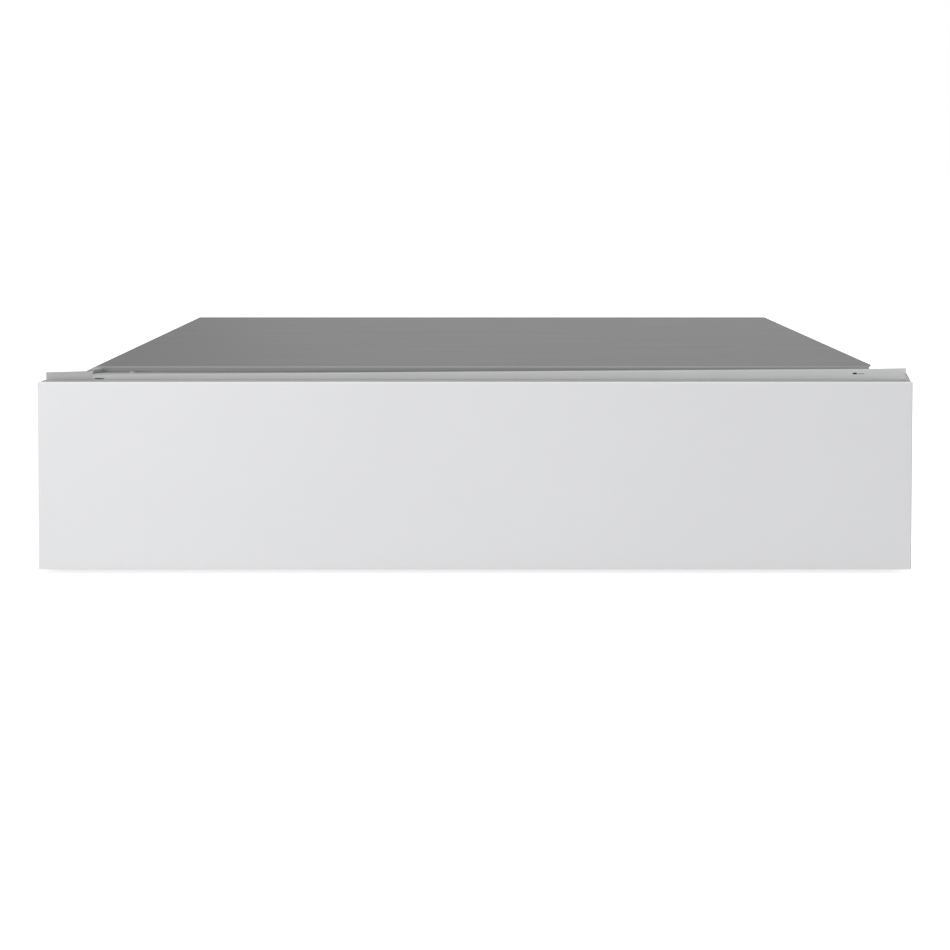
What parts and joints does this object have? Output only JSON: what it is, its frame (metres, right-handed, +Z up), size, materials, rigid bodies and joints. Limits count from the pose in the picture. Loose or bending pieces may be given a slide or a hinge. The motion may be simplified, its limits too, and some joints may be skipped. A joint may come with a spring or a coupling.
{
  "type": "vacuum sealing drawer",
  "caption": "Built-in drawer with a plain white glass front that slides out to a vacuum chamber with a glass lid, a sealing bar and a touch panel, in a sheet-metal housing.",
  "frame": {"origin": "middle of the footprint, on the surface under the feet", "axes": "+X to the right as seen from the room, -Y out of the glass front, +Z up"},
  "size_m": [0.595, 0.546, 0.1388],
  "materials": {
    "galvanised_sheet": "satin galvanised sheet",
    "brushed_cover": "brushed grey sheet",
    "white_glass": "gloss, back-painted white",
    "dark_seam": "matte bonding compound",
    "light_sheet": "satin light grey",
    "stainless": "brushed stainless",
    "runner_steel": "zinc plated",
    "ball_steel": "polished",
    "screw_steel": "bright zinc",
    "rubber_black": "matte",
    "black_plastic": "fine texture",
    "silicone_grey": "satin silicone",
    "silicone_red": "satin silicone",
    "clear_glass": "clear tempered",
    "black_glass": "gloss black",
    "anodised": "natural anodised",
    "weld_tape": "woven non-stick tape",
    "board_green": "solder mask",
    "motor_paint": "satin dark grey",
    "cast_aluminium": "cast",
    "filter_plastic": "satin white",
    "copper_winding": "taped copper winding",
    "hose_blue": "satin hose"
  },
  "bodies": {
    "housing": {"base_pan": "galvanised_sheet", "left_side_wall": "light_sheet", "right_side_wall": "light_sheet", "rear_wall": "galvanised_sheet", "top_cover": "brushed_cover", "front_crossbar": "light_sheet", "crossbar_rivets": "screw_steel", "housing_screws": "screw_steel", "rubber_feet": "rubber_black", "mains_inlet": "black_plastic", "latch_housing": "black_plastic", "left_outer_rail": "runner_steel", "right_outer_rail": "runner_steel"},
    "drawer": {"front_glass": "white_glass", "glue_seam": "dark_seam", "front_tray": "light_sheet", "left_drawer_side": "stainless", "right_drawer_side": "stainless", "drawer_floor": "galvanised_sheet", "drawer_back": "galvanised_sheet", "left_inner_rail": "runner_steel", "right_inner_rail": "runner_steel", "deck_plate": "stainless", "deck_screws": "screw_steel", "rear_deck_cover": "stainless", "vacuum_chamber": "stainless", "chamber_seal": "silicone_grey", "lift_cylinders": "anodised", "left_hinge_bracket": "stainless", "right_hinge_bracket": "stainless", "control_panel": "black_glass", "control_board": "board_green", "vacuum_port": "stainless", "pump_motor": "motor_paint", "pump_head": "cast_aluminium", "exhaust_filter": "filter_plastic", "pump_mounts": "rubber_black", "solenoid_valves": "black_plastic", "suction_hose": "hose_blue", "vent_hose": "hose_blue", "sealing_transformer": "copper_winding", "power_board": "board_green"},
    "latch_plunger_body": {"latch_plunger": "black_plastic"},
    "left_middle_member": {"left_middle_rail": "runner_steel"},
    "right_middle_member": {"right_middle_rail": "runner_steel"},
    "left_outer_cage_body": {"left_outer_ball_cage": "ball_steel"},
    "right_outer_cage_body": {"right_outer_ball_cage": "ball_steel"},
    "left_inner_cage_body": {"left_inner_ball_cage": "ball_steel"},
    "right_inner_cage_body": {"right_inner_ball_cage": "ball_steel"},
    "lid": {"glass_lid": "clear_glass", "left_hinge_arm": "anodised", "right_hinge_arm": "anodised", "hinge_shaft": "stainless", "counter_bar": "silicone_red"},
    "sealing_bar_body": {"sealing_bar": "anodised", "sealing_tape": "weld_tape", "lift_pins": "stainless"},
    "port_cap_body": {"port_cap": "black_plastic"},
    "pump_rotor": {"pump_shaft": "stainless", "cooling_impeller": "black_plastic"}
  },
  "joints": [
    {"name": "drawer_slide", "type": "slide", "parent": "housing", "child": "drawer", "axis": [0, -1, 0], "range_m": [0, 0.46]},
    {"name": "lid_hinge", "type": "hinge", "parent": "drawer", "child": "lid", "pos_m": [0, 0.03, 0.097], "axis": [-1, 0, 0], "range_deg": [0, 36.2]},
    {"name": "sealing_bar_lift", "type": "slide", "parent": "drawer", "child": "sealing_bar_body", "axis": [0, 0, 1], "range_m": [0, 0.007]},
    {"name": "port_cap_lift", "type": "slide", "parent": "drawer", "child": "port_cap_body", "axis": [0, 0, 1], "range_m": [0, 0.01]},
    {"name": "pump_spin", "type": "hinge", "parent": "drawer", "child": "pump_rotor", "pos_m": [-0.155, 0.14, 0.065], "axis": [1, 0, 0], "continuous": true},
    {"name": "latch_push", "type": "slide", "parent": "housing", "child": "latch_plunger_body", "axis": [0, -1, 0], "range_m": [0, 0.012]},
    {"name": "left_middle_slide", "type": "slide", "parent": "housing", "child": "left_middle_member", "axis": [0, -1, 0], "range_m": [0, 0.23]},
    {"name": "left_outer_cage_slide", "type": "slide", "parent": "housing", "child": "left_outer_cage_body", "axis": [0, -1, 0], "range_m": [0, 0.115]},
    {"name": "left_inner_cage_slide", "type": "slide", "parent": "housing", "child": "left_inner_cage_body", "axis": [0, -1, 0], "range_m": [0, 0.345]},
    {"name": "right_middle_slide", "type": "slide", "parent": "housing", "child": "right_middle_member", "axis": [0, -1, 0], "range_m": [0, 0.23]},
    {"name": "right_outer_cage_slide", "type": "slide", "parent": "housing", "child": "right_outer_cage_body", "axis": [0, -1, 0], "range_m": [0, 0.115]},
    {"name": "right_inner_cage_slide", "type": "slide", "parent": "housing", "child": "right_inner_cage_body", "axis": [0, -1, 0], "range_m": [0, 0.345]}
  ],
  "couplings": [
    {"joint": "lid_hinge", "follows": "drawer_slide", "rad_per_m": 1.37},
    {"joint": "latch_push", "follows": "drawer_slide", "ratio": 0.026},
    {"joint": "left_middle_slide", "follows": "drawer_slide", "ratio": 0.5},
    {"joint": "left_outer_cage_slide", "follows": "drawer_slide", "ratio": 0.25},
    {"joint": "left_inner_cage_slide", "follows": "drawer_slide", "ratio": 0.75},
    {"joint": "right_middle_slide", "follows": "drawer_slide", "ratio": 0.5},
    {"joint": "right_outer_cage_slide", "follows": "drawer_slide", "ratio": 0.25},
    {"joint": "right_inner_cage_slide", "follows": "drawer_slide", "ratio": 0.75}
  ]
}
